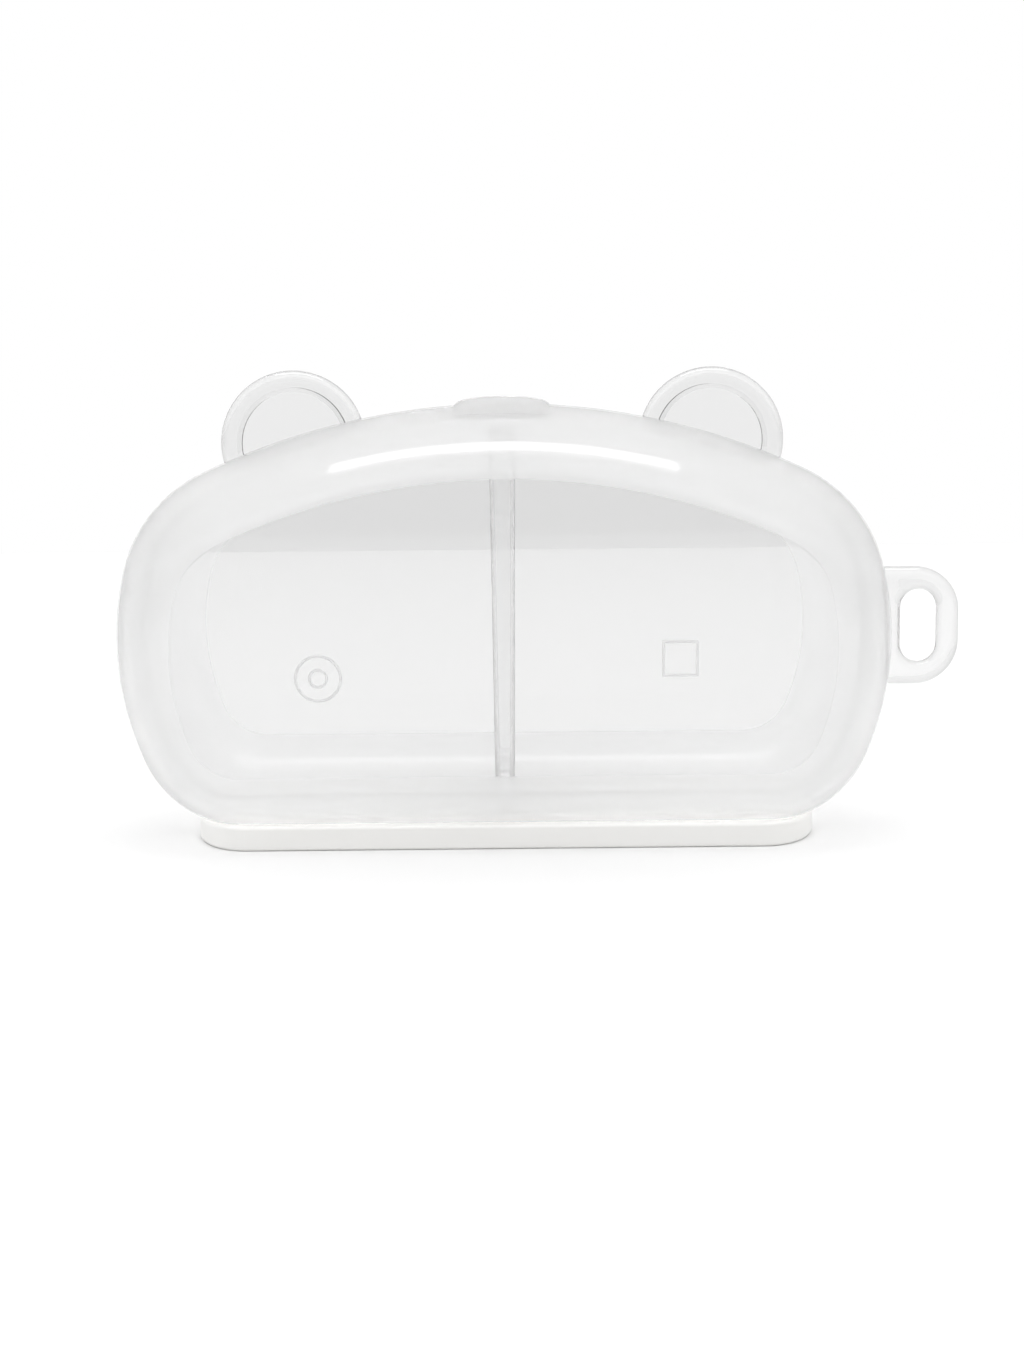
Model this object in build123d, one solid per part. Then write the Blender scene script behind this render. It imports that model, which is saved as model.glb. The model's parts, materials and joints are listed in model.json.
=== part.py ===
"""A clear bear-shaped clamshell case with two compartments, a carrying loop and a white hinged foot.

The rear shell stands still. The front cover swings forward and down on a pin that runs along the middle
of the foot. Origin: middle of the foot's underside. +Z is up and the front cover faces -Y. Millimetres.
"""

from build123d import *
from math import cos, radians, sin, sqrt
import os

# Outline of the shells in the parting plane: radius and turn of each arc, from the middle of the
# top round to the flat bottom.
TOP_RADIUS = 115.0
TOP_TURN = 24.9
SHOULDER_RADIUS = 23.1
SHOULDER_TURN = 51.0
SIDE_RADIUS = 48.1
SIDE_TURN = 37.1
CORNER_RADIUS = 19.0
SHELL_TOP = 69.6

# Section of the shells
CASE_DEPTH = 44.0
RIM_INSET = 11.1
WALL = 1.8
BOTTOM_LEVEL = 3.0
PARTING_GAP = 0.1
LIP_HEIGHT = 1.5
LIP_WALL = 0.8
LIP_CLEARANCE = 0.12

# Divider between the compartments
DIVIDER_TOP_WIDTH = 4.1
DIVIDER_BOTTOM_WIDTH = 2.9
DIVIDER_GROOVE = 0.6
DIVIDER_SIDE_CLEARANCE = 0.05
DIVIDER_GAP = 0.4
DIVIDER_FLOOR_GAP = 0.1
DIVIDER_LIP_GAP = 0.15

# Ears
EAR_RADIUS = 11.7
EAR_SPACING = 67.4
EAR_CENTRE_HEIGHT = 63.4
EAR_THICKNESS = 3.0
EAR_RIM = 2.7
EAR_RECESS = 0.8
EAR_EDGE_ROUND = 1.1

# Carrying loop
LOOP_REACH = 11.7
LOOP_HEIGHT = 19.3
LOOP_CENTRE_HEIGHT = 32.9
LOOP_THICKNESS = 3.0
LOOP_CORNER = 7.2
LOOP_HOLE_WIDTH = 5.9
LOOP_HOLE_HEIGHT = 11.9
LOOP_RIM = 3.6
LOOP_EDGE_ROUND = 1.1
LOOP_ROOT = 4.0

# Thumb tab on top of the cover
TAB_WIDTH = 15.2
TAB_RISE = 1.3
TAB_SHOULDER = 0.9
TAB_OVERHANG = 3.2
TAB_FLAT = 3.0
TAB_REACH = 12.5
TAB_TOE_RISE = 0.35
TAB_GAP = 0.3

# Foot and hinge
FOOT_LENGTH = 100.4
FOOT_DEPTH = 32.0
FOOT_HEIGHT = 3.8
FOOT_END_ROUND = 9.3
FOOT_EDGE_ROUND = 0.5
LEAF_INNER_EDGE = 2.2
PIN_RADIUS = 0.6
PIN_RUNNING_CLEARANCE = 0.05
PIN_HEIGHT = 1.5
KNUCKLE_RADIUS = 1.35
KNUCKLE_PITCH = 12.0
KNUCKLE_COUNT = 7
KNUCKLE_END_GAP = 0.3
WEB_HALF_HEIGHT = 0.9

HALF_DEPTH = CASE_DEPTH / 2
HALF_GAP = PARTING_GAP / 2
MID_WALL = WALL / 2
FRONT, REAR = -1, 1

# Reach of the blocks that trim other shapes, well past every part of the case
BIG = 400.0


def outline_arcs(inset):
    """The right-hand arcs of the outline, set in by inset: centre x, centre z, radius, start and turn.

    Angles run from the top of each circle towards +X, in degrees. Every arc starts in the direction in
    which the last one ended, so the outline stays smooth at any inset.
    """
    last_turn = 180.0 - TOP_TURN - SHOULDER_TURN - SIDE_TURN
    chain = (
        (TOP_RADIUS, TOP_TURN),
        (SHOULDER_RADIUS, SHOULDER_TURN),
        (SIDE_RADIUS, SIDE_TURN),
        (CORNER_RADIUS, last_turn),
    )
    arcs = []
    x, z, start = 0.0, SHELL_TOP, 0.0
    for radius, turn in chain:
        centre_x = x - radius * sin(radians(start))
        centre_z = z - radius * cos(radians(start))
        arcs.append((centre_x, centre_z, radius - inset, start, turn))
        start += turn
        x = centre_x + radius * sin(radians(start))
        z = centre_z + radius * cos(radians(start))
    return arcs


def on_arc(arc, turn, side, y):
    """The point on an arc after a turn from its start; side -1 mirrors it to the left."""
    centre_x, centre_z, radius, start, _ = arc
    angle = radians(start + turn)
    return Vector(side * (centre_x + radius * sin(angle)), y, centre_z + radius * cos(angle))


def outline_face(inset, y=0.0):
    """The whole outline, set in by inset, as a face across the Y axis."""
    arcs = outline_arcs(inset)
    edges = []
    for side in (1, -1):
        for arc in arcs:
            ends = [on_arc(arc, turn, side, y) for turn in (0.0, arc[4] / 2, arc[4])]
            edges.append(Edge.make_three_point_arc(*ends))
    edges.append(Edge.make_line(on_arc(arcs[-1], arcs[-1][4], 1, y), on_arc(arcs[-1], arcs[-1][4], -1, y)))
    return Face(Wire(edges))


def rim_section(plane, inner, across, depth):
    """A quarter ellipse in the given plane, from the parting line round to the flat wall."""
    with BuildSketch(plane) as section:
        with BuildLine():
            EllipticalCenterArc((inner, 0), across, depth, start_angle=0, arc_size=90)
            Line((inner, depth), (inner, 0))
            Line((inner, 0), (inner + across, 0))
        make_face()
    return section.sketch


def on_section(y):
    """How far the rim has come in from the parting outline at a distance y from the parting plane."""
    return RIM_INSET * (1 - sqrt(1 - (y / HALF_DEPTH) ** 2))


def half_body(inset, depth, face):
    """One filled half of the case: a flat-fronted slab with a quarter-elliptic rim all round it.

    inset sets the parting outline in, depth is how far the half reaches from the parting plane, and
    face is FRONT or REAR. The flat's own outline is always RIM_INSET inside the outer one.
    """
    across = RIM_INSET - inset
    slab = extrude(outline_face(RIM_INSET), amount=depth, dir=(0, face, 0))
    rim = []
    arcs = outline_arcs(0.0)
    for side in (1, -1):
        for centre_x, centre_z, radius, start, turn in arcs:
            angle = radians(start)
            outward = Vector(side * sin(angle), 0, cos(angle))
            origin = Vector(side * centre_x, 0, centre_z)
            plane = Plane(origin, x_dir=outward, z_dir=outward.cross(Vector(0, face, 0)))
            section = rim_section(plane, radius - RIM_INSET, across, depth)
            axis = Axis(origin, (0, side, 0))
            rim.append(revolve(section, axis, revolution_arc=turn))
    last = arcs[-1]
    bottom_right = on_arc(last, last[4], 1, 0.0)
    down = Vector(0, 0, -1)
    plane = Plane(bottom_right, x_dir=down, z_dir=down.cross(Vector(0, face, 0)))
    section = rim_section(plane, -RIM_INSET, across, depth)
    rim.append(extrude(section, amount=2 * bottom_right.X, dir=(-1, 0, 0)))
    return slab + rim


def slice_box(low, high):
    """A box between two corners."""
    size = [b - a for a, b in zip(low, high)]
    middle = [(a + b) / 2 for a, b in zip(low, high)]
    return Pos(*middle) * Box(*size)


def above(level):
    return slice_box((-BIG, -BIG, level), (BIG, BIG, BIG))


def beyond(face, gap):
    """Everything on one side of the parting plane, past a gap."""
    return slice_box((-BIG, min(face * gap, face * BIG), -BIG), (BIG, max(face * gap, face * BIG), BIG))


outer = {face: half_body(0.0, HALF_DEPTH, face) & above(BOTTOM_LEVEL) for face in (FRONT, REAR)}
cavity = {face: half_body(WALL, HALF_DEPTH - WALL, face) & above(BOTTOM_LEVEL + WALL) for face in (FRONT, REAR)}
whole_cavity = cavity[FRONT] + cavity[REAR]


def rounded_disc(outline, thickness, edge_round):
    """An outline in the XZ plane made into a plate behind the parting gap, its edges rounded."""
    plate = extrude(outline, amount=thickness, dir=(0, 1, 0))
    long_edges = [edge for edge in plate.edges() if abs(edge.center().Y - thickness / 2) > thickness / 4]
    return Pos(0, HALF_GAP, 0) * fillet(long_edges, edge_round)


def ear(side):
    """A round ear with a raised rim and a thinner panel inside it."""
    at = Plane((side * EAR_SPACING / 2, 0, EAR_CENTRE_HEIGHT), x_dir=(1, 0, 0), z_dir=(0, -1, 0))
    disc = rounded_disc(at * Circle(EAR_RADIUS), EAR_THICKNESS, EAR_EDGE_ROUND)
    panel = at * Circle(EAR_RADIUS - EAR_RIM)
    front_recess = Pos(0, HALF_GAP, 0) * extrude(panel, amount=EAR_RECESS, dir=(0, 1, 0))
    rear_recess = Pos(0, EAR_THICKNESS - EAR_RECESS, 0) * front_recess
    return disc - front_recess - rear_recess


def loop():
    """A D-shaped loop with an upright hole, standing out from the right-hand side."""
    _, _, (side_centre, _, side_radius, _, _), _ = outline_arcs(0.0)
    side_of_case = side_centre + side_radius
    low, high = side_of_case - LOOP_ROOT, side_of_case + LOOP_REACH
    with BuildSketch(Plane((0, 0, LOOP_CENTRE_HEIGHT), x_dir=(1, 0, 0), z_dir=(0, -1, 0))) as outline:
        with Locations(((low + high) / 2, 0)):
            Rectangle(high - low, LOOP_HEIGHT)
        fillet(outline.vertices().group_by(Axis.X)[-1], LOOP_CORNER)
        with Locations((high - LOOP_RIM - LOOP_HOLE_WIDTH / 2, 0)):
            SlotOverall(LOOP_HOLE_HEIGHT, LOOP_HOLE_WIDTH, rotation=90, mode=Mode.SUBTRACT)
    return rounded_disc(outline.sketch, LOOP_THICKNESS, LOOP_EDGE_ROUND)


def thumb_tab():
    """The pad at the top of the cover: it overhangs the rear shell and slopes down to the front."""
    toe_level = SHELL_TOP - on_section(TAB_REACH) + TAB_TOE_RISE
    side_view = Polyline(
        (TAB_OVERHANG, SHELL_TOP + TAB_GAP),
        (TAB_OVERHANG, SHELL_TOP + TAB_RISE),
        (-TAB_FLAT, SHELL_TOP + TAB_RISE),
        (-TAB_REACH, toe_level),
        (-TAB_REACH, SHELL_TOP - on_section(TAB_REACH) - MID_WALL),
        (-HALF_GAP, SHELL_TOP - WALL),
        (-HALF_GAP, SHELL_TOP + TAB_GAP),
        close=True,
    )
    side_face = Plane.YZ * make_face(side_view)
    pad = extrude(side_face, amount=TAB_WIDTH / 2, both=True)
    upper_half = SHELL_TOP + (TAB_GAP + TAB_RISE) / 2
    shoulders = [edge for edge in pad.edges().filter_by(Axis.Y) if edge.center().Z > upper_half]
    return fillet(shoulders, TAB_SHOULDER) - whole_cavity


def divider_plate(grow):
    """The divider's wedge: wide at the top, narrow at the bottom; grow widens it on each side."""
    top_level, bottom_level = SHELL_TOP, BOTTOM_LEVEL
    wedge = Polyline(
        (-DIVIDER_TOP_WIDTH / 2 - grow, top_level),
        (DIVIDER_TOP_WIDTH / 2 + grow, top_level),
        (DIVIDER_BOTTOM_WIDTH / 2 + grow, bottom_level),
        (-DIVIDER_BOTTOM_WIDTH / 2 - grow, bottom_level),
        close=True,
    )
    return extrude(Plane.XZ * make_face(wedge), amount=HALF_DEPTH, both=True)


# The divider keeps a gap to the cover's walls all round, and its back edge sits in a groove.
seat_depth = HALF_DEPTH - WALL
room = {face: half_body(WALL + DIVIDER_GAP, seat_depth - DIVIDER_GAP, face) for face in (FRONT, REAR)}
clear_floor = above(BOTTOM_LEVEL + WALL + DIVIDER_FLOOR_GAP)
in_room = room[FRONT] + room[REAR]
flat_front = extrude(outline_face(RIM_INSET + DIVIDER_GAP), amount=seat_depth + DIVIDER_GROOVE, dir=(0, 1, 0))
divider = divider_plate(0.0) & (in_room + flat_front) & clear_floor
groove_block = extrude(
    outline_face(RIM_INSET + DIVIDER_GAP - DIVIDER_SIDE_CLEARANCE),
    amount=seat_depth + DIVIDER_GROOVE,
    dir=(0, 1, 0),
)
groove = divider_plate(DIVIDER_SIDE_CLEARANCE) & groove_block

# Closing lip: it stands up from the rear shell just inside the cover's wall, except along the hinge.
# Its root inside the rear shell is as deep as the lip is high, and reaches halfway into the wall.
lip_outside = WALL + LIP_CLEARANCE
lip_inside = lip_outside + LIP_WALL
lip_ring = extrude(outline_face(lip_outside, -LIP_HEIGHT), amount=2 * LIP_HEIGHT, dir=(0, 1, 0))
lip_base = extrude(outline_face(MID_WALL, HALF_GAP), amount=LIP_HEIGHT - HALF_GAP, dir=(0, 1, 0))
lip_room = extrude(outline_face(lip_inside, -LIP_HEIGHT), amount=2 * LIP_HEIGHT, dir=(0, 1, 0))
closing_lip = (lip_ring + lip_base - lip_room) & above(BOTTOM_LEVEL + WALL + LIP_CLEARANCE)

# The divider is notched where the closing lip crosses its edge.
notch_reach = LIP_HEIGHT + DIVIDER_LIP_GAP
notch = slice_box((-BIG, -notch_reach, -BIG), (BIG, notch_reach, BIG))
notch -= extrude(outline_face(lip_inside + DIVIDER_LIP_GAP, -BIG), amount=2 * BIG, dir=(0, 1, 0))
divider -= notch

rear_shell = outer[REAR] & beyond(REAR, HALF_GAP)
rear_shell += [(ear(side) - outer[FRONT]) for side in (-1, 1)] + [loop()]
rear_shell -= cavity[REAR]
rear_shell += closing_lip & slice_box((-BIG, -BIG, BOTTOM_LEVEL), (BIG, BIG, SHELL_TOP))
rear_shell -= groove
front_cover = ((outer[FRONT] - cavity[FRONT]) & beyond(FRONT, HALF_GAP)) + thumb_tab()


def foot_plan():
    """The foot's outline from above: a bar with half-elliptic ends."""
    straight = FOOT_LENGTH / 2 - FOOT_END_ROUND
    with BuildSketch() as plan:
        Rectangle(2 * straight, FOOT_DEPTH)
        for side in (-1, 1):
            with Locations((side * straight, 0)):
                Ellipse(FOOT_END_ROUND, FOOT_DEPTH / 2)
    return plan.sketch


def knuckles(face):
    """Every other barrel along the pin, with a web that ties it to the leaf on its side."""
    first = -KNUCKLE_PITCH * (KNUCKLE_COUNT - 1) / 2
    barrels = []
    for index in range(0 if face == REAR else 1, KNUCKLE_COUNT, 2):
        length = KNUCKLE_PITCH - KNUCKLE_END_GAP
        middle = first + KNUCKLE_PITCH * index
        barrels.append(Pos(middle, 0, PIN_HEIGHT) * Rot(0, 90, 0) * Cylinder(KNUCKLE_RADIUS, length))
        near, far = face * PIN_RADIUS, face * (LEAF_INNER_EDGE + KNUCKLE_RADIUS)
        low = (middle - length / 2, min(near, far), PIN_HEIGHT - WEB_HALF_HEIGHT)
        high = (middle + length / 2, max(near, far), PIN_HEIGHT + WEB_HALF_HEIGHT)
        barrels.append(slice_box(low, high))
    return barrels


def foot_leaf(face):
    """One half of the foot, shaped to the shell above it, with its share of the hinge barrels."""
    slab = extrude(foot_plan(), amount=FOOT_HEIGHT)
    slab = fillet(slab.edges().filter_by(Plane.XY), FOOT_EDGE_ROUND)
    leaf = (slab & beyond(face, LEAF_INNER_EDGE)) - outer[face]
    bore = PIN_RADIUS + (PIN_RUNNING_CLEARANCE if face == FRONT else 0.0)
    return leaf + knuckles(face) - Pos(0, 0, PIN_HEIGHT) * Rot(0, 90, 0) * Cylinder(bore, FOOT_LENGTH)


pin_length = KNUCKLE_PITCH * KNUCKLE_COUNT - KNUCKLE_END_GAP
hinge_pin = Pos(0, 0, PIN_HEIGHT) * Rot(0, 90, 0) * Cylinder(PIN_RADIUS, pin_length)

nodes = {
    "rear_shell": rear_shell,
    "front_cover": front_cover,
    "compartment_divider": divider,
    "rear_foot_leaf": foot_leaf(REAR),
    "front_foot_leaf": foot_leaf(FRONT),
    "hinge_pin": hinge_pin,
}
os.makedirs("parts", exist_ok=True)
for name, shape in nodes.items():
    export_step(shape, f"parts/{name}.step")
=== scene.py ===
"""Looks for a clear bear-shaped clamshell case on a white hinged foot. Metres, +Z up, front towards -Y.

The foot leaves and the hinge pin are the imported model's own meshes. The clear mouldings are rebuilt here as
smooth surfaces on the same outline of tangent arcs, because clear plastic shows every facet. Their dimensions
are written in millimetres and scaled once, when a mesh is made.
"""

import json
from math import cos, pi, radians, sin

import bmesh
import bpy
import numpy as np
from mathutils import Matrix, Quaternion, Vector

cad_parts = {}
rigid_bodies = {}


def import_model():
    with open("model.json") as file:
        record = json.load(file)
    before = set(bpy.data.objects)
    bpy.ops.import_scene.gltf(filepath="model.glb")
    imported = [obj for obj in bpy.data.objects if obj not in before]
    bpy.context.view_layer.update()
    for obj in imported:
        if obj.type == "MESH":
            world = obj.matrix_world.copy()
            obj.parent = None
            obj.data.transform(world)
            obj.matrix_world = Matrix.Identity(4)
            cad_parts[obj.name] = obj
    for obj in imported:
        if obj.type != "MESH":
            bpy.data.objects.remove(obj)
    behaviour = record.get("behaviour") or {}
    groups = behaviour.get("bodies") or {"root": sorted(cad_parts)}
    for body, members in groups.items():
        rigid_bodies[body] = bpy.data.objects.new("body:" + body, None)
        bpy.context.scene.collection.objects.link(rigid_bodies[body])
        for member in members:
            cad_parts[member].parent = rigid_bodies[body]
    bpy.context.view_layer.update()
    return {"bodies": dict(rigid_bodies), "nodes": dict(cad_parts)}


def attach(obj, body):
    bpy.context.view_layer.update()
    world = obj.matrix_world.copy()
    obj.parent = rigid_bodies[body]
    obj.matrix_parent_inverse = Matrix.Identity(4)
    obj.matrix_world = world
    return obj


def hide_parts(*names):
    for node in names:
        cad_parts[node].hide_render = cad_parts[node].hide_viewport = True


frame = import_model()
MM = 0.001

# ---------------------------------------------------------------- node helpers

COLOUR_A, COLOUR_B, COLOUR_RESULT = 6, 7, 2  # sockets of a Mix node that is set to colours
COLOUR_MIX = {"data_type": "RGBA"}


class Graph:
    """A material, group or world node tree with short calls for adding and linking nodes."""

    def __init__(self, tree):
        self.tree = tree

    def add(self, kind, sets=None, links=None, **props):
        """A new node: its properties first, then its sockets' values, then the links into its sockets."""
        node = self.tree.nodes.new(kind)
        for name, value in props.items():
            setattr(node, name, value)
        for name, value in (sets or {}).items():
            node.inputs[name].default_value = value
        for name, source in (links or {}).items():
            self.tree.links.new(source, node.inputs[name])
        return node


def new_material(name):
    """An empty material and the graph of its node tree."""
    material = bpy.data.materials.new(name)
    material.use_nodes = True
    material.node_tree.nodes.clear()
    return material, Graph(material.node_tree)


def new_group(name, inputs, outputs):
    """An empty node group with float inputs (name, default) and float outputs (name)."""
    tree = bpy.data.node_groups.new(name, "ShaderNodeTree")
    for label, default in inputs:
        socket = tree.interface.new_socket(label, in_out="INPUT", socket_type="NodeSocketFloat")
        socket.default_value = default
    for label in outputs:
        tree.interface.new_socket(label, in_out="OUTPUT", socket_type="NodeSocketFloat")
    graph = Graph(tree)
    return tree, graph, graph.add("NodeGroupInput"), graph.add("NodeGroupOutput")


def grey(level):
    """A neutral colour."""
    return (level, level, level, 1.0)


# ---------------------------------------------------------------- finishes

PLASTIC_IOR = 1.49
FINE_RELIEF = 0.00002  # metres between a bump's lowest and highest place

SCRATCH_SCALE, SMEAR_SCALE = 900.0, 60.0
SCRATCH_RUNS = ((0.4, 0.06), (-0.9, 0.09))  # each set's turn about Y in radians, and its scale along Z
SCRATCH_TILT, SCRATCH_TWIST = 0.2, 0.3  # radians about X and Z
SCRATCH_EDGE = 0.002
SCRATCH_SHARE = 0.35
SMEAR_START, SMEAR_FULL = 0.45, 0.75

# SHELL_TINT is the clear plastic's tint. The rounded edges' darker copy of it is painted shade that greys the
# ears' rims and the loop, and the divider's lighter copy is painted light that brightens the divider.
SHELL_TINT, BEAD_TINT_PAINTED_DARKER, DIVIDER_TINT_PAINTED_LIGHTER = grey(0.885), grey(0.86), grey(0.98)
# painted shade: the dark grey that the clear plastic's colour turns to where it is seen edge-on, drawing dark
# outlines
PAINTED_EDGE_SHADE = grey(0.1)
CLEAR_LIFT, CLEAR_BUMP = 0.02, 0.004
SHADOW_PASS = grey(0.88)
MILK_SKIN, MILK_GLOW, MILK_GLOW_SHARE, MILK_ROUGHNESS = grey(0.93), grey(0.95), 0.55, 0.12

WHITE_DARKER, WHITE_LIGHTER = (0.86, 0.855, 0.835, 1.0), (0.90, 0.895, 0.88, 1.0)
WHITE_ROUGHNESS, WHITE_LIFT, WHITE_BUMP = 0.38, 0.12, 0.25
GRAIN_SCALE, SHADE_SCALE = 2600.0, 45.0

STEEL = (0.58, 0.58, 0.6, 1.0)
STEEL_SMOOTH, STEEL_ROUGH = 0.22, 0.4
DRAWN_SCALE, DRAWN_STRETCH = 4000.0, 0.05


def handling_marks():
    """Hairline scratches and soft smears: a height, and a roughness that lifts where the marks are.

    A scratch is the thin line where a stretched noise crosses one half: its strength falls from one there to
    none at SCRATCH_EDGE away. A smear is where a broad noise is high. The roughness is the base plus the lift
    times the stronger of the two.
    """
    tree, g, given, out = new_group(
        "handling marks",
        (
            ("Scratch Scale", SCRATCH_SCALE),
            ("Smear Scale", SMEAR_SCALE),
            ("Base Roughness", 0.03),
            ("Lift", 0.05),
        ),
        ("Height", "Roughness"),
    )
    place = g.add("ShaderNodeTexCoord").outputs["Object"]
    scratches = []
    for turn, stretch in SCRATCH_RUNS:
        turned = g.add(
            "ShaderNodeMapping",
            {"Rotation": (SCRATCH_TILT, turn, SCRATCH_TWIST), "Scale": (1.0, 1.0, stretch)},
            {"Vector": place},
        )
        noise = g.add(
            "ShaderNodeTexNoise",
            {"Detail": 1.0},
            {"Vector": turned.outputs[0], "Scale": given.outputs["Scratch Scale"]},
        )
        off = g.add("ShaderNodeMath", {1: 0.5}, {0: noise.outputs[0]}, operation="SUBTRACT")
        size = g.add("ShaderNodeMath", None, {0: off.outputs[0]}, operation="ABSOLUTE")
        scratch = g.add(
            "ShaderNodeMapRange",
            {"From Min": 0.0, "From Max": SCRATCH_EDGE, "To Min": 1.0, "To Max": 0.0},
            {"Value": size.outputs[0]},
        )
        scratches.append(scratch.outputs[0])
    both = g.add("ShaderNodeMath", None, {0: scratches[0], 1: scratches[1]}, operation="MAXIMUM")
    broad = g.add(
        "ShaderNodeTexNoise",
        {"Detail": 3.0, "Roughness": 0.55},
        {"Vector": place, "Scale": given.outputs["Smear Scale"]},
    )
    smear = g.add(
        "ShaderNodeMapRange", {"From Min": SMEAR_START, "From Max": SMEAR_FULL}, {"Value": broad.outputs[0]}
    )
    faint = g.add("ShaderNodeMath", {1: SCRATCH_SHARE}, {0: both.outputs[0]}, operation="MULTIPLY")
    total = g.add("ShaderNodeMath", None, {0: faint.outputs[0], 1: smear.outputs[0]}, operation="MAXIMUM")
    lifted = g.add(
        "ShaderNodeMath",
        None,
        {0: total.outputs[0], 1: given.outputs["Lift"], 2: given.outputs["Base Roughness"]},
        operation="MULTIPLY_ADD",
    )
    g.tree.links.new(both.outputs[0], out.inputs["Height"])
    g.tree.links.new(lifted.outputs[0], out.inputs["Roughness"])
    return tree


MARKS = handling_marks()


def clear_plastic(name, tint, painted_edge_spread, roughness, milk):
    """Clear moulded plastic: tint seen straight on, darkening to a dark grey where it is seen edge-on; that
    darkening is painted shade, drawing dark outlines along the plastic's edges.

    A small painted_edge_spread keeps the darker line thin. milk is the share of a cloudy skin, about half of
    which lets light glow through. Lamps shine through the plastic instead of being stopped, because thin clear
    plastic leaves only a faint shadow.
    """
    material, g = new_material(name)
    marks = g.add("ShaderNodeGroup", {"Base Roughness": roughness, "Lift": CLEAR_LIFT}, node_tree=MARKS)
    bump = g.add(
        "ShaderNodeBump",
        {"Strength": CLEAR_BUMP, "Distance": FINE_RELIEF},
        {"Height": marks.outputs["Height"]},
    )
    # Painted shade: the colour darkens towards edge-on view, which draws dark outline lines along the edges.
    facing = g.add("ShaderNodeLayerWeight", {"Blend": painted_edge_spread})
    depth = g.add(
        "ShaderNodeMix", {COLOUR_A: tint, COLOUR_B: PAINTED_EDGE_SHADE}, {0: facing.outputs["Facing"]}, **COLOUR_MIX
    )
    clear = g.add(
        "ShaderNodeBsdfPrincipled",
        {"IOR": PLASTIC_IOR, "Transmission Weight": 1.0, "Metallic": 0.0},
        {
            "Base Color": depth.outputs[COLOUR_RESULT],
            "Roughness": marks.outputs["Roughness"],
            "Normal": bump.outputs[0],
        },
    )
    skin = g.add(
        "ShaderNodeBsdfPrincipled", {"Base Color": MILK_SKIN, "IOR": PLASTIC_IOR, "Roughness": MILK_ROUGHNESS}
    )
    glow = g.add("ShaderNodeBsdfTranslucent", {"Color": MILK_GLOW})
    cloudy = g.add("ShaderNodeMixShader", {0: MILK_GLOW_SHARE}, {1: skin.outputs[0], 2: glow.outputs[0]})
    body = g.add("ShaderNodeMixShader", {0: milk}, {1: clear.outputs[0], 2: cloudy.outputs[0]})
    through = g.add("ShaderNodeBsdfTransparent", {"Color": SHADOW_PASS})
    ray = g.add("ShaderNodeLightPath")
    surface = g.add(
        "ShaderNodeMixShader",
        None,
        {0: ray.outputs["Is Shadow Ray"], 1: body.outputs[0], 2: through.outputs[0]},
    )
    g.add("ShaderNodeOutputMaterial", None, {"Surface": surface.outputs[0]})
    return material


def white_plastic():
    """Satin white plastic: slow changes of shade, a fine moulded grain in the height, and handling marks."""
    material, g = new_material("satin white plastic")
    place = g.add("ShaderNodeTexCoord").outputs["Object"]
    grain = g.add("ShaderNodeTexNoise", {"Scale": GRAIN_SCALE, "Detail": 2.0}, {"Vector": place})
    shade = g.add("ShaderNodeTexNoise", {"Scale": SHADE_SCALE, "Detail": 4.0}, {"Vector": place})
    tone = g.add(
        "ShaderNodeMix",
        {COLOUR_A: WHITE_DARKER, COLOUR_B: WHITE_LIGHTER},
        {0: shade.outputs[0]},
        **COLOUR_MIX,
    )
    bump = g.add(
        "ShaderNodeBump", {"Strength": WHITE_BUMP, "Distance": FINE_RELIEF}, {"Height": grain.outputs[0]}
    )
    marks = g.add(
        "ShaderNodeGroup", {"Base Roughness": WHITE_ROUGHNESS, "Lift": WHITE_LIFT}, node_tree=MARKS
    )
    body = g.add(
        "ShaderNodeBsdfPrincipled",
        {"IOR": PLASTIC_IOR, "Metallic": 0.0},
        {
            "Base Color": tone.outputs[COLOUR_RESULT],
            "Roughness": marks.outputs["Roughness"],
            "Normal": bump.outputs[0],
        },
    )
    g.add("ShaderNodeOutputMaterial", None, {"Surface": body.outputs[0]})
    return material


def drawn_wire():
    """Plain steel wire: fine drawing lines along X in the roughness, from a noise stretched along X."""
    material, g = new_material("drawn steel wire")
    place = g.add("ShaderNodeTexCoord").outputs["Object"]
    along = g.add("ShaderNodeMapping", {"Scale": (DRAWN_STRETCH, 1.0, 1.0)}, {"Vector": place})
    lines = g.add("ShaderNodeTexNoise", {"Scale": DRAWN_SCALE, "Detail": 2.0}, {"Vector": along.outputs[0]})
    rough = g.add(
        "ShaderNodeMapRange", {"To Min": STEEL_SMOOTH, "To Max": STEEL_ROUGH}, {"Value": lines.outputs[0]}
    )
    body = g.add(
        "ShaderNodeBsdfPrincipled", {"Base Color": STEEL, "Metallic": 1.0}, {"Roughness": rough.outputs[0]}
    )
    g.add("ShaderNodeOutputMaterial", None, {"Surface": body.outputs[0]})
    return material


CLEAR_RIM = clear_plastic("clear moulded plastic", SHELL_TINT, painted_edge_spread=0.11, roughness=0.03, milk=0.32)
CLEAR_PLATE = clear_plastic("polished clear plastic", SHELL_TINT, painted_edge_spread=0.1, roughness=0.015, milk=0.02)
CLEAR_BEAD = clear_plastic("clear rounded edge", BEAD_TINT_PAINTED_DARKER, painted_edge_spread=0.28, roughness=0.025, milk=0.06)
CLEAR_DIVIDER = clear_plastic(
    "clear divider plastic", DIVIDER_TINT_PAINTED_LIGHTER, painted_edge_spread=0.2, roughness=0.04, milk=0.2
)
WHITE = white_plastic()
WIRE = drawn_wire()

for node, material in (("rear_foot_leaf", WHITE), ("front_foot_leaf", WHITE), ("hinge_pin", WIRE)):
    slots = frame["nodes"][node].data.materials
    slots.clear()
    slots.append(material)

# ---------------------------------------------------------------- dimensions, mm unless a name says otherwise

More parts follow.
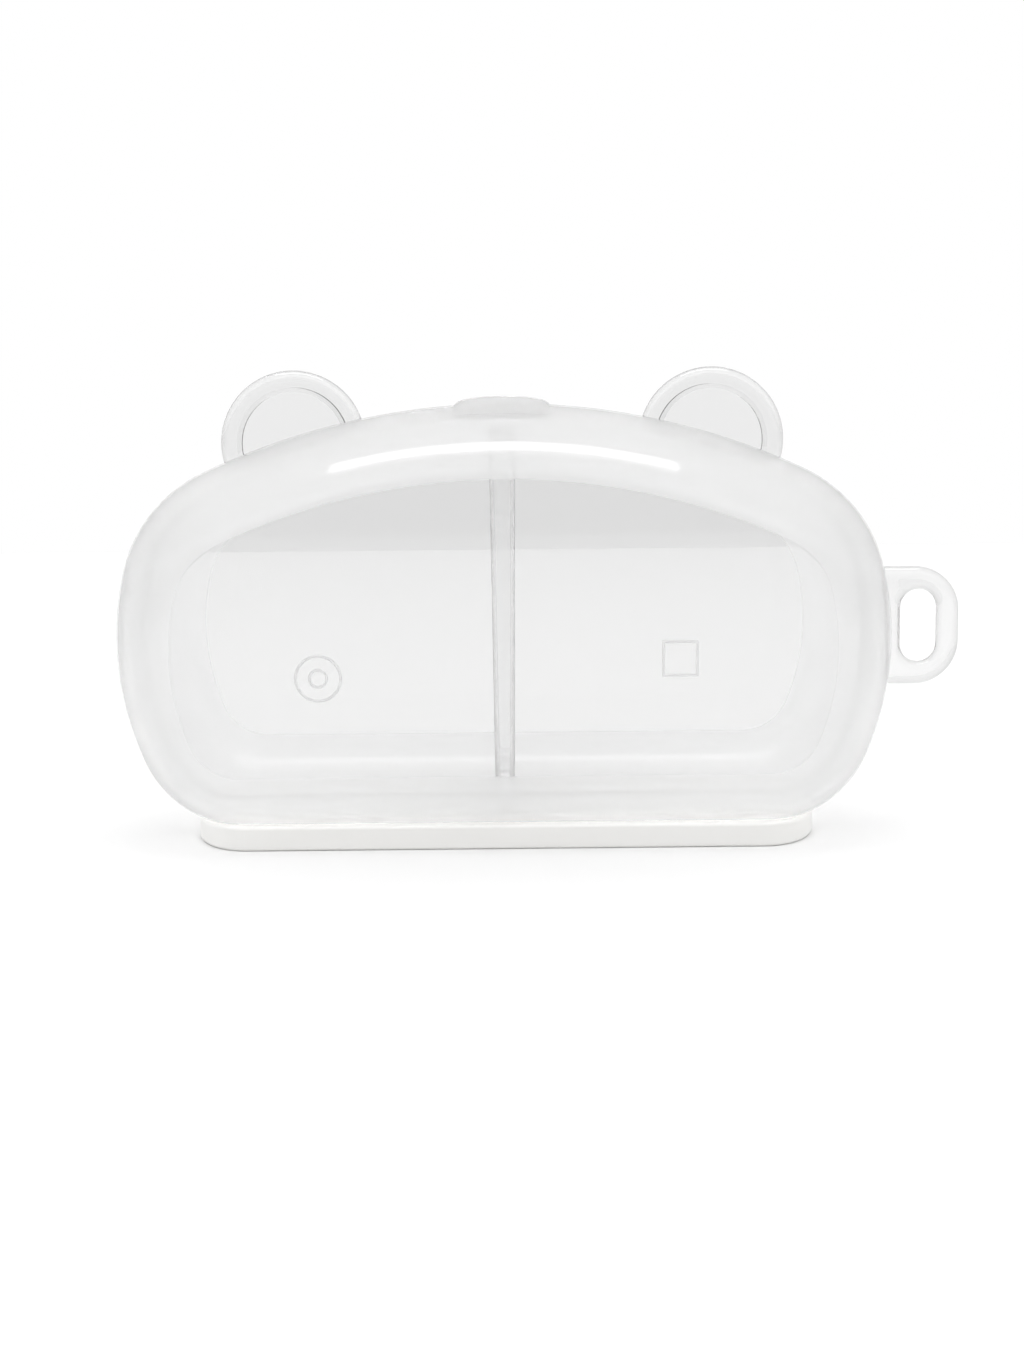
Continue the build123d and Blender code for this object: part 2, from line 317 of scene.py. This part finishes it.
# The outline's arcs, each a radius and the degrees that it turns through, from the top middle round to the
# straight bottom.
TOP_RADIUS, TOP_TURN = 115.0, 24.9
SHOULDER_RADIUS, SHOULDER_TURN = 23.1, 51.0
SIDE_RADIUS, SIDE_TURN = 48.1, 37.1
CORNER_RADIUS = 19.0
CORNER_TURN = 180.0 - TOP_TURN - SHOULDER_TURN - SIDE_TURN

SHELL_TOP = 69.6
HALF_DEPTH = 22.0
RIM_INSET = 11.1
WALL = 1.8
BOTTOM_LEVEL = 3.0
HALF_GAP = 0.05
FLOOR_BEND = 0.12
PLATE_RING = 0.35
PAST_PARTING = 1.0

LIP_HEIGHT, LIP_OUTSIDE, LIP_WALL = 1.5, 1.92, 0.8
LIP_FADE = 0.4

EAR_RADIUS, EAR_THICKNESS, EAR_ROUND = 11.7, 3.0, 1.3
EAR_SPACING, EAR_CENTRE_HEIGHT = 67.4, 63.4
EAR_RIM, EAR_RECESS, EAR_SLOPE = 2.7, 0.8, 0.7
EAR_PANEL_RING = 7.8

LOOP_REACH, LOOP_ROOT, LOOP_HEIGHT = 11.7, 4.0, 19.3
LOOP_CENTRE_HEIGHT, LOOP_THICKNESS, LOOP_ROUND = 32.9, 3.0, 1.3
LOOP_CORNER, LOOP_ROOT_CORNER = 7.2, 1.4
LOOP_HOLE_WIDTH, LOOP_HOLE_HEIGHT, LOOP_RIM = 5.9, 11.9, 3.6

TAB_WIDTH, TAB_REACH, TAB_OVERHANG = 15.2, 11.0, 3.2
TAB_RISE, TAB_TOE, TAB_FLAT, TAB_GAP = 1.1, 0.02, 1.0, 0.3
TAB_POWER, TAB_LEAST = 2.6, 0.01

DIVIDER_TOP_WIDTH, DIVIDER_BOTTOM_WIDTH, DIVIDER_ROUND = 4.1, 2.9, 0.9
DIVIDER_INSET, DIVIDER_FRONT, DIVIDER_REAR = 2.95, 19.8, 20.15
DIVIDER_FLOOR_GAP = 0.1

MARK_WIDTH, MARK_HEIGHT, MARK_CLEARANCE = 0.5, 0.16, 0.01
MOULD_MARKS = (  # name, centre x and z, radius, corners
    ("ring_mark", -32.3, 22.4, 3.9, 48),
    ("ring_mark_centre", -32.3, 22.4, 1.5, 24),
    ("square_mark", 30.3, 25.3, 4.1, 4),
)

# ---------------------------------------------------------------- how finely the surfaces are divided

ARC_STEPS, RIM_STEPS, DIVIDER_STEPS = 48, 32, 24
EAR_POINTS, SLOPE_POINTS, TAB_POINTS = 96, 11, 25
LOOP_STEPS = 20
EDGE_POINTS, DIVIDER_EDGE_POINTS = 9, 7
TAB_FIRST_INSIDE = 3
MERGE_DISTANCE_M = 1e-7
SMOOTH_BELOW_DEG = 32.0

# ---------------------------------------------------------------- surfaces

REAR, FRONT = 1, -1
RIM, PLATE, BEAD = 0, 1, 2  # places of the three clear finishes in a moulding's materials


def grid_faces(rows, columns, wrap_rows, wrap_columns):
    """The quads of a grid of points, numbered row by row, closed on itself where asked."""
    i, j = np.meshgrid(
        np.arange(rows - (not wrap_rows)), np.arange(columns - (not wrap_columns)), indexing="ij"
    )
    i, j = i.ravel(), j.ravel()
    next_i, next_j = (i + 1) % rows, (j + 1) % columns
    corners = [i * columns + j, next_i * columns + j, next_i * columns + next_j, i * columns + next_j]
    return np.stack(corners, -1)


def row_caps(rows, columns):
    """One face on a grid's first row of points and one on its last."""
    first = np.arange(columns)
    return [first, first + (rows - 1) * columns]


def column_caps(rows, columns):
    """One face on a grid's first column of points and one on its last."""
    first = np.arange(rows) * columns
    return [first, first + columns - 1]


def make_piece(name, points, quads, caps=(), kinds=None, materials=(CLEAR_RIM, CLEAR_PLATE, CLEAR_BEAD)):
    """A mesh object from points in mm, quads and end caps, with its faces turned outwards.

    kinds gives each face's place in materials, quads first and then caps.
    """
    mesh = bpy.data.meshes.new(name)
    for material in materials:
        mesh.materials.append(material)
    faces = quads.tolist() + [cap.tolist() for cap in caps]
    mesh.from_pydata((points.reshape(-1, 3) * MM).tolist(), [], faces)
    mesh.update()
    if kinds is not None:
        mesh.polygons.foreach_set("material_index", np.asarray(kinds, np.int32))
    face_out(mesh)
    soften(mesh)
    piece = bpy.data.objects.new(name, mesh)
    bpy.context.scene.collection.objects.link(piece)
    return piece


def face_out(mesh):
    """Merges the points that lie on each other, then turns every face of the closed mesh outwards."""
    shape = bmesh.new()
    shape.from_mesh(mesh)
    bmesh.ops.remove_doubles(shape, verts=shape.verts, dist=MERGE_DISTANCE_M)
    bmesh.ops.recalc_face_normals(shape, faces=shape.faces)
    shape.to_mesh(mesh)
    shape.free()


def soften(mesh):
    """Smooth shading everywhere, with the edges sharper than SMOOTH_BELOW_DEG kept crisp."""
    mesh.polygons.foreach_set("use_smooth", np.ones(len(mesh.polygons), bool))
    mesh.set_sharp_from_angle(angle=radians(SMOOTH_BELOW_DEG))
    mesh.update()


def outline_samples():
    """The closed outline as arrays: arc centre x and z, radius, and the outward direction's x and z.

    A point set in by d is the centre plus (radius - d) times the outward direction. Each arc starts in the
    direction in which the last one ended. The straight bottom is the last arc's end slid along X, and the
    left side is the right side mirrored.
    """
    start_x, start_z, start = 0.0, SHELL_TOP, 0.0
    chain = (
        (TOP_RADIUS, TOP_TURN),
        (SHOULDER_RADIUS, SHOULDER_TURN),
        (SIDE_RADIUS, SIDE_TURN),
        (CORNER_RADIUS, CORNER_TURN),
    )
    arcs = []
    for radius, turn in chain:
        centre_x = start_x - radius * sin(radians(start))
        centre_z = start_z - radius * cos(radians(start))
        angle = np.radians(start + turn * np.arange(ARC_STEPS) / ARC_STEPS)
        fixed = np.tile((centre_x, centre_z, radius), (ARC_STEPS, 1))
        arcs.append(np.column_stack([fixed, np.sin(angle), np.cos(angle)]))
        start += turn
        start_x = centre_x + radius * sin(radians(start))
        start_z = centre_z + radius * cos(radians(start))
    right = np.concatenate(arcs)
    along = np.linspace(start_x, -start_x, ARC_STEPS + 1)
    fixed = np.tile((centre_z, CORNER_RADIUS, 0.0, -1.0), (ARC_STEPS + 1, 1))
    bottom = np.column_stack([along, fixed])
    left = right[1:][::-1] * np.array([-1, 1, 1, -1, 1])
    return np.concatenate([right, bottom, left]).T


OUTLINE = outline_samples()
SIDE_OF_CASE = float((OUTLINE[0] + OUTLINE[2] * OUTLINE[3]).max())
OUTLINE_BOTTOM = float((OUTLINE[1] + OUTLINE[2] * OUTLINE[4]).min())


def not_below(z, level):
    """The larger of z and level, with the bend between them rounded over about half a millimetre.

    It is the level plus b times the log of (1 + e to the power (z - level) / b), where b is FLOOR_BEND.
    """
    return level + FLOOR_BEND * np.logaddexp(0, (z - level) / FLOOR_BEND)


def round_outline(inset, y, floor):
    """A strip carried round the outline: row u is a place on the outline, column v is an inset and a y.

    A point is the arc's centre plus (radius - inset) times the outward direction, and not below floor.
    """
    cx, cz, radius, out_x, out_z = (row[:, None] for row in OUTLINE)
    x = cx + (radius - inset) * out_x
    z = not_below(cz + (radius - inset) * out_z, floor)
    return np.stack([x, np.broadcast_to(y, x.shape), z], -1)


def quarter_ellipse(inset, depth, steps):
    """Inset and depth along the rim's section: a quarter ellipse from the parting line round to the flat."""
    turn = np.linspace(0, pi / 2, steps + 1)
    return inset + (RIM_INSET - inset) * (1 - np.cos(turn)), depth * np.sin(turn)


def rounded_edge(radius, points):
    """A quarter circle on an edge: its points' distances in from the side face and down from the top face."""
    turn = np.linspace(0, pi / 2, points)
    return radius * (1 - np.cos(turn)), radius * (1 - np.sin(turn))


def filled_half(name, inset, depth, side, floor, parting):
    """A closed solid half: quarter-elliptic rim, flat plate, and a flat face at a distance parting.

    Its section is the quarter ellipse, carried round the outline. The plate has a narrow ring just inside its
    edge, so that its normals are exact all over.
    """
    across, deep = quarter_ellipse(inset, depth, RIM_STEPS)
    across = np.concatenate([[inset], across, [RIM_INSET + PLATE_RING]])
    deep = np.concatenate([[parting], np.maximum(deep, parting), [depth]])
    strip = round_outline(across, side * deep, floor)
    rows, columns = strip.shape[:2]
    quads = grid_faces(rows, columns, True, False)
    on_plate = quads[:, 2] % columns == columns - 1
    kinds = np.concatenate([np.where(on_plate, PLATE, RIM), [RIM, PLATE]])
    return make_piece(name, strip, quads, column_caps(rows, columns), kinds)


def cavity(side):
    """The room inside one half, carried past the parting plane so that it cuts cleanly."""
    return filled_half("cavity", WALL, HALF_DEPTH - WALL, side, BOTTOM_LEVEL + WALL, -PAST_PARTING)


def lip_ring():
    """The closing lip: an upright strip just inside the cover's wall, on a thicker root in the rear shell.

    Its section is six points, carried round the outline. Their distance from the parting face is multiplied by
    a strength that falls from one to none as the lip nears the floor of the case. The rows of no strength are
    left out, which leaves the hinge side free.
    """
    inner = LIP_OUTSIDE + LIP_WALL
    inset = np.array([WALL / 2, LIP_OUTSIDE, LIP_OUTSIDE, inner, inner, WALL / 2])
    y = np.array([HALF_GAP, HALF_GAP, -LIP_HEIGHT, -LIP_HEIGHT, LIP_HEIGHT, LIP_HEIGHT])
    floor = BOTTOM_LEVEL + WALL
    _, cz, radius, _, out_z = OUTLINE
    level = cz + (radius - LIP_OUTSIDE) * out_z
    strength = np.clip((level - floor - LIP_FADE) / LIP_FADE, 0, 1)
    strip = round_outline(inset, HALF_GAP + (y - HALF_GAP) * strength[:, None], floor)
    kept = strength > 0
    left_of_gap, count = int(np.argmin(kept)), int(kept.sum())
    strip = np.roll(strip, count - left_of_gap, axis=0)[:count]
    rows, columns = strip.shape[:2]
    return make_piece("lip", strip, grid_faces(rows, columns, False, True), row_caps(rows, columns))


def ear(side):
    """A round ear: a rim with rounded corners and a thinner panel, turned about the ear's own Y axis.

    The section runs from the panel out over the front face, round the edge and back in behind. Between the
    rim and the panel it falls as half a cosine wave.
    """
    half = EAR_THICKNESS / 2
    in_from_edge, down = rounded_edge(EAR_ROUND, EDGE_POINTS)
    wave = (1 - np.cos(np.linspace(0, pi, SLOPE_POINTS))) / 2
    slope_radius = EAR_RADIUS - EAR_RIM - EAR_SLOPE * wave
    radius = np.concatenate([EAR_RADIUS - in_from_edge, slope_radius, [EAR_PANEL_RING]])
    y = np.concatenate([half - down, half - EAR_RECESS * wave, [half - EAR_RECESS]])
    radius, y = np.concatenate([radius[::-1], radius]), np.concatenate([-y[::-1], y])
    angle = np.linspace(0, 2 * pi, EAR_POINTS, endpoint=False)[:, None]
    x = side * EAR_SPACING / 2 + radius * np.sin(angle)
    z = EAR_CENTRE_HEIGHT + radius * np.cos(angle)
    grid = np.stack([x, np.broadcast_to(HALF_GAP + half + y, x.shape), z], -1)
    rows, columns = x.shape
    quads = grid_faces(rows, columns, True, False)
    column = quads[:, 0] % columns
    on_panel = (column == 0) | (column == columns - 2)
    kinds = np.concatenate([np.where(on_panel, PLATE, BEAD), [PLATE, PLATE]])
    return make_piece("ear", grid, quads, column_caps(rows, columns), kinds)


def rounded_rectangle(centre, size, corner_radii, beyond):
    """The x and z of lines round a rounded rectangle: row u is a direction, column v a distance beyond it.

    Each direction belongs to one of four corners, from the upper right one anticlockwise. A point is the
    corner's centre plus (radius + beyond) times the direction.
    """
    quarter = np.linspace(0, pi / 2, LOOP_STEPS + 1)
    angle = np.concatenate([quarter + corner * pi / 2 for corner in range(4)])[:, None]
    sign_x = np.repeat([1, -1, -1, 1], LOOP_STEPS + 1)[:, None]
    sign_z = np.repeat([1, 1, -1, -1], LOOP_STEPS + 1)[:, None]
    radius = np.repeat(corner_radii, LOOP_STEPS + 1)[:, None]
    middle_x = centre[0] + sign_x * (size[0] / 2 - radius)
    middle_z = centre[1] + sign_z * (size[1] / 2 - radius)
    return middle_x + (radius + beyond) * np.cos(angle), middle_z + (radius + beyond) * np.sin(angle)


def loop():
    """The carrying loop: a bar with rounded edges between a D-shaped outline and an upright slot.

    Row u is a direction round the loop. Column v goes round the bar's section: in over the outline's edge,
    down into the slot, and back underneath.
    """
    high, low = SIDE_OF_CASE + LOOP_REACH, SIDE_OF_CASE - LOOP_ROOT
    outer_middle = ((low + high) / 2, LOOP_CENTRE_HEIGHT)
    outer_size = (high - low, LOOP_HEIGHT)
    outer_corners = (LOOP_CORNER, LOOP_ROOT_CORNER, LOOP_ROOT_CORNER, LOOP_CORNER)
    slot_middle = (high - LOOP_RIM - LOOP_HOLE_WIDTH / 2, LOOP_CENTRE_HEIGHT)
    slot_size = (LOOP_HOLE_WIDTH, LOOP_HOLE_HEIGHT)
    slot_corners = (LOOP_HOLE_WIDTH / 2,) * 4
    reach, down = rounded_edge(LOOP_ROUND, EDGE_POINTS)
    height = LOOP_THICKNESS / 2 - down
    reach = np.concatenate([reach, reach[::-1], reach, reach[::-1]])
    height = np.concatenate([height, height[::-1], -height, -height[::-1]])
    by_slot = np.repeat([False, True, True, False], EDGE_POINTS)
    outer_x, outer_z = rounded_rectangle(outer_middle, outer_size, outer_corners, -reach)
    slot_x, slot_z = rounded_rectangle(slot_middle, slot_size, slot_corners, reach)
    x, z = np.where(by_slot, slot_x, outer_x), np.where(by_slot, slot_z, outer_z)
    grid = np.stack([x, np.broadcast_to(HALF_GAP + LOOP_THICKNESS / 2 + height, x.shape), z], -1)
    quads = grid_faces(*x.shape, True, True)
    return make_piece("loop", grid, quads, (), np.full(len(quads), BEAD))


def thumb_tab():
    """The pad at the top of the cover: its side view carried across X, lower towards its two ends.

    The side view runs up the shell, round the nose that hangs over the rear shell, and back inside the wall.
    The pad's height over the shell falls as half a cosine wave from the nose to the toe, and is multiplied by
    (1 - |2x/width|^n)^(1/n), which rounds its shoulders. The whole pad sinks by the sag of the top arc.
    """
    front = np.linspace(0, TAB_REACH, TAB_POINTS)
    shell = RIM_INSET * (1 - np.sqrt(1 - (front / HALF_DEPTH) ** 2))
    fall = (1 + np.cos(pi * np.clip((front - TAB_FLAT) / (TAB_REACH - TAB_FLAT), 0, 1))) / 2
    rise = TAB_TOE + (TAB_RISE - TAB_TOE) * fall
    nose_turn = np.linspace(pi / 2, -pi / 2, EDGE_POINTS)
    nose_middle, nose_radius = (TAB_RISE + TAB_GAP) / 2, (TAB_RISE - TAB_GAP) / 2
    nose_y = TAB_OVERHANG - nose_radius + nose_radius * np.cos(nose_turn)
    nose_z = nose_middle + nose_radius * np.sin(nose_turn)
    inside, inside_shell = front[TAB_FIRST_INSIDE:], shell[TAB_FIRST_INSIDE:]
    y = np.concatenate([-front[::-1], nose_y, [-HALF_GAP, -HALF_GAP], -inside])
    over = np.concatenate([rise[::-1], nose_z, [TAB_GAP, 0.0], 0 * inside])
    base = np.concatenate([-shell[::-1], 0 * nose_z, [0.0, -WALL / 2], -inside_shell - WALL / 2])
    across = np.linspace(-1, 1, TAB_POINTS)[:, None]
    shoulder = np.maximum(1 - np.abs(across) ** TAB_POWER, TAB_LEAST) ** (1 / TAB_POWER)
    x = across * TAB_WIDTH / 2
    sag = TOP_RADIUS - np.sqrt(TOP_RADIUS**2 - x**2)
    z = SHELL_TOP + base + over * shoulder - sag
    grid = np.stack([np.broadcast_to(x, z.shape), np.broadcast_to(y, z.shape), z], -1)
    return make_piece("tab", grid, grid_faces(*z.shape, False, True), row_caps(*z.shape))


def divider():
    """The wedge between the compartments: an edge outline in YZ carried across X, its long edges rounded.

    The outline is a quarter ellipse each side of the middle, above and mirrored below, held off both shells.
    A point goes in from it along the outline's normal by the rounding, and the plate's width falls evenly
    from the top to the bottom.
    """
    across, turn_sine = quarter_ellipse(DIVIDER_INSET, 1.0, DIVIDER_STEPS)
    across = np.concatenate([across[::-1], across[1:]])
    y = np.concatenate([-DIVIDER_FRONT * turn_sine[::-1], DIVIDER_REAR * turn_sine[1:]])
    floor = BOTTOM_LEVEL + WALL + DIVIDER_FLOOR_GAP + FLOOR_BEND
    top = np.stack([y, SHELL_TOP - across], 1)
    bottom = np.stack([y, np.maximum(OUTLINE_BOTTOM + across, floor)], 1)[::-1]
    edge = np.concatenate([top, bottom])
    ahead = np.roll(edge, -1, 0) - np.roll(edge, 1, 0)
    inward = np.stack([ahead[:, 1], -ahead[:, 0]], 1) / np.linalg.norm(ahead, axis=1)[:, None]
    into, narrower = rounded_edge(DIVIDER_ROUND, DIVIDER_EDGE_POINTS)
    into = np.concatenate([into[::-1], into])
    narrower = np.concatenate([narrower[::-1], narrower])
    side = np.repeat([-1, 1], DIVIDER_EDGE_POINTS)
    place = edge[:, None, :] + inward[:, None, :] * into[None, :, None]
    y, z = place[..., 0], place[..., 1]
    width = np.interp(z, (BOTTOM_LEVEL, SHELL_TOP), (DIVIDER_BOTTOM_WIDTH, DIVIDER_TOP_WIDTH))
    grid = np.stack([side * (width / 2 - narrower), y, z], -1)
    quads, caps = grid_faces(*z.shape, True, False), column_caps(*z.shape)
    return make_piece("clear_divider", grid, quads, caps, materials=(CLEAR_DIVIDER,))


def raised_outline(name, centre_x, centre_z, radius, corners):
    """A raised line on the rear wall's inner face: a half-round bead carried round a regular outline in XZ.

    Row u is a corner on a circle of the given radius, column v goes round the bead. At a corner the bead is
    1 / cos(pi / corners) times as wide, which mitres it. Many corners make the outline round.
    """
    corner = pi / corners + 2 * pi * np.arange(corners)[:, None] / corners
    turn = np.linspace(0, pi, EDGE_POINTS)
    away = radius + MARK_WIDTH / 2 * np.cos(turn) / cos(pi / corners)
    x = centre_x + away * np.sin(corner)
    z = centre_z + away * np.cos(corner)
    y = np.broadcast_to(HALF_DEPTH - WALL - MARK_CLEARANCE - MARK_HEIGHT * np.sin(turn), x.shape)
    return make_piece(name, np.stack([x, y, z], -1), grid_faces(*x.shape, True, True))


def combine(base, *steps):
    """Booleans applied in turn to base: each step is an operation and the piece that it adds or cuts away."""
    for operation, tool in steps:
        change = base.modifiers.new(operation.lower(), "BOOLEAN")
        change.operation, change.object, change.solver = operation, tool, "EXACT"
    bpy.context.view_layer.update()
    result = bpy.data.meshes.new_from_object(base.evaluated_get(bpy.context.evaluated_depsgraph_get()))
    base.modifiers.clear()
    base.data = result
    for _, tool in steps:
        bpy.data.objects.remove(tool)
    soften(result)


def declare(piece, body, slot, *replaced):
    """Attaches a piece to the body that it rides on and hides the nodes that it stands for. slot is not used.
    """
    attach(piece, body)
    if replaced:
        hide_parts(*replaced)


# ---------------------------------------------------------------- pieces

rear = filled_half("clear_rear_shell", 0.0, HALF_DEPTH, REAR, BOTTOM_LEVEL, HALF_GAP)
combine(
    rear,
    ("UNION", ear(-1)),
    ("UNION", ear(1)),
    ("UNION", loop()),
    ("DIFFERENCE", cavity(REAR)),
    ("UNION", lip_ring()),
)
declare(rear, "case_body", "clear_shell", "rear_shell")

cover = filled_half("clear_front_cover", 0.0, HALF_DEPTH, FRONT, BOTTOM_LEVEL, HALF_GAP)
combine(cover, ("UNION", thumb_tab()), ("DIFFERENCE", cavity(FRONT)))
declare(cover, "cover", "clear_shell", "front_cover")

declare(divider(), "case_body", "clear_divider", "compartment_divider")

for mark in MOULD_MARKS:
    declare(raised_outline(*mark), "case_body", "clear_shell")

# ---------------------------------------------------------------- stage, metres

FLOOR_LEFT, FLOOR_RIGHT, FLOOR_FRONT, FLOOR_BACK = -1.5, 1.5, -0.6, 0.56
FLOOR_COLOUR, FLOOR_ROUGHNESS, FLOOR_GLOSS = grey(0.79), 0.9, 0.1
FLOOR_MARK_Y = -0.0355

BACKDROP_LEVEL, LOW_FRONT_LEVEL, OVERHEAD_EXTRA = 1.0, 0.3, 0.2
FRONT_FADE = {"From Min": 0.35, "From Max": -0.5}
LOW_FADE = {"From Min": 0.4, "From Max": 0.1}
OVERHEAD_FADE = {"From Min": 0.3, "From Max": 0.8}

SOFTBOX_PLACE, SOFTBOX_AIM = (0.0, -0.08, 1.2), (0, 0, 0.03)
SOFTBOX_SIZE, SOFTBOX_WATTS = (0.85, 0.36), 5.0


def area_light(name, place, aim, size, watts):
    """A rectangular light at a place, turned towards the point that it is aimed at."""
    lamp = bpy.data.lights.new(name, "AREA")
    lamp.shape = "RECTANGLE"
    lamp.size, lamp.size_y = size
    lamp.energy = watts
    holder = bpy.data.objects.new(name, lamp)
    holder.location = place
    holder.rotation_mode = "QUATERNION"
    holder.rotation_quaternion = (Vector(aim) - Vector(place)).to_track_quat("-Z", "Y")
    bpy.context.scene.collection.objects.link(holder)


def plain_floor():
    """A flat pale floor that ends a little way behind the case.

    The open cover swings lower than the foot, so the floor's height follows a mark that rides on the cover:
    level with the foot while the case is shut, and just under the cover when it is open.
    """
    mesh = bpy.data.meshes.new("studio_floor")
    corners = (
        (FLOOR_LEFT, FLOOR_FRONT, 0),
        (FLOOR_RIGHT, FLOOR_FRONT, 0),
        (FLOOR_RIGHT, FLOOR_BACK, 0),
        (FLOOR_LEFT, FLOOR_BACK, 0),
    )
    mesh.from_pydata(corners, [], [(0, 1, 2, 3)])
    mesh.update()
    floor = bpy.data.objects.new("studio_floor", mesh)
    bpy.context.scene.collection.objects.link(floor)
    material, g = new_material("pale studio floor")
    body = g.add(
        "ShaderNodeBsdfPrincipled",
        {"Base Color": FLOOR_COLOUR, "Roughness": FLOOR_ROUGHNESS, "Specular IOR Level": FLOOR_GLOSS},
    )
    g.add("ShaderNodeOutputMaterial", None, {"Surface": body.outputs[0]})
    mesh.materials.append(material)
    mark = bpy.data.objects.new("floor_level", None)
    mark.location = (0.0, FLOOR_MARK_Y, 0.0)
    mark.parent = frame["bodies"]["cover"]
    bpy.context.scene.collection.objects.link(mark)
    follow = floor.constraints.new("COPY_LOCATION")
    follow.target = mark
    follow.use_x = follow.use_y = False


def studio_surround():
    """The world: an even white backdrop, brighter overhead, with a darker room low down in front.

    The level falls from the backdrop's to the low front's by a smooth step in the direction's Y times one in
    its Z, and a smooth step in Z adds the overhead light.
    """
    world = bpy.data.worlds.new("studio surround")
    world.use_nodes = True
    world.node_tree.nodes.clear()
    g = Graph(world.node_tree)
    split = g.add("ShaderNodeSeparateXYZ", None, {0: g.add("ShaderNodeTexCoord").outputs["Generated"]})
    smooth = {"interpolation_type": "SMOOTHSTEP"}
    ahead = g.add("ShaderNodeMapRange", FRONT_FADE, {"Value": split.outputs["Y"]}, **smooth)
    low = g.add("ShaderNodeMapRange", LOW_FADE, {"Value": split.outputs["Z"]}, **smooth)
    dark = g.add("ShaderNodeMath", None, {0: ahead.outputs[0], 1: low.outputs[0]}, operation="MULTIPLY")
    level = g.add(
        "ShaderNodeMapRange",
        {"To Min": BACKDROP_LEVEL, "To Max": LOW_FRONT_LEVEL},
        {"Value": dark.outputs[0]},
    )
    above = g.add(
        "ShaderNodeMapRange",
        {**OVERHEAD_FADE, "To Max": OVERHEAD_EXTRA},
        {"Value": split.outputs["Z"]},
        **smooth,
    )
    total = g.add("ShaderNodeMath", None, {0: level.outputs[0], 1: above.outputs[0]}, operation="ADD")
    sky = g.add("ShaderNodeBackground", {"Color": grey(1.0)}, {"Strength": total.outputs[0]})
    g.add("ShaderNodeOutputWorld", None, {"Surface": sky.outputs[0]})
    bpy.context.scene.world = world


plain_floor()
studio_surround()
area_light("overhead softbox", SOFTBOX_PLACE, SOFTBOX_AIM, SOFTBOX_SIZE, SOFTBOX_WATTS)
bpy.context.scene.view_settings.view_transform = "Standard"

# ---------------------------------------------------------------- camera

CAMERA_PLACE = (0.0012, -0.3486, 0.0748)
CAMERA_TILT_DEG, CAMERA_ROLL_DEG = 8.25, 0.57
LENS_MM, SENSOR_MM = 56.8, 36.0

camera_data = bpy.data.cameras.new("camera")
camera_data.lens, camera_data.sensor_width = LENS_MM, SENSOR_MM
camera = bpy.data.objects.new("camera", camera_data)
camera.location = CAMERA_PLACE
camera.rotation_mode = "QUATERNION"
level_view = Quaternion((1, 0, 0), radians(90 - CAMERA_TILT_DEG))
camera.rotation_quaternion = level_view @ Quaternion((0, 0, 1), -radians(CAMERA_ROLL_DEG))
bpy.context.scene.collection.objects.link(camera)
bpy.context.scene.camera = camera
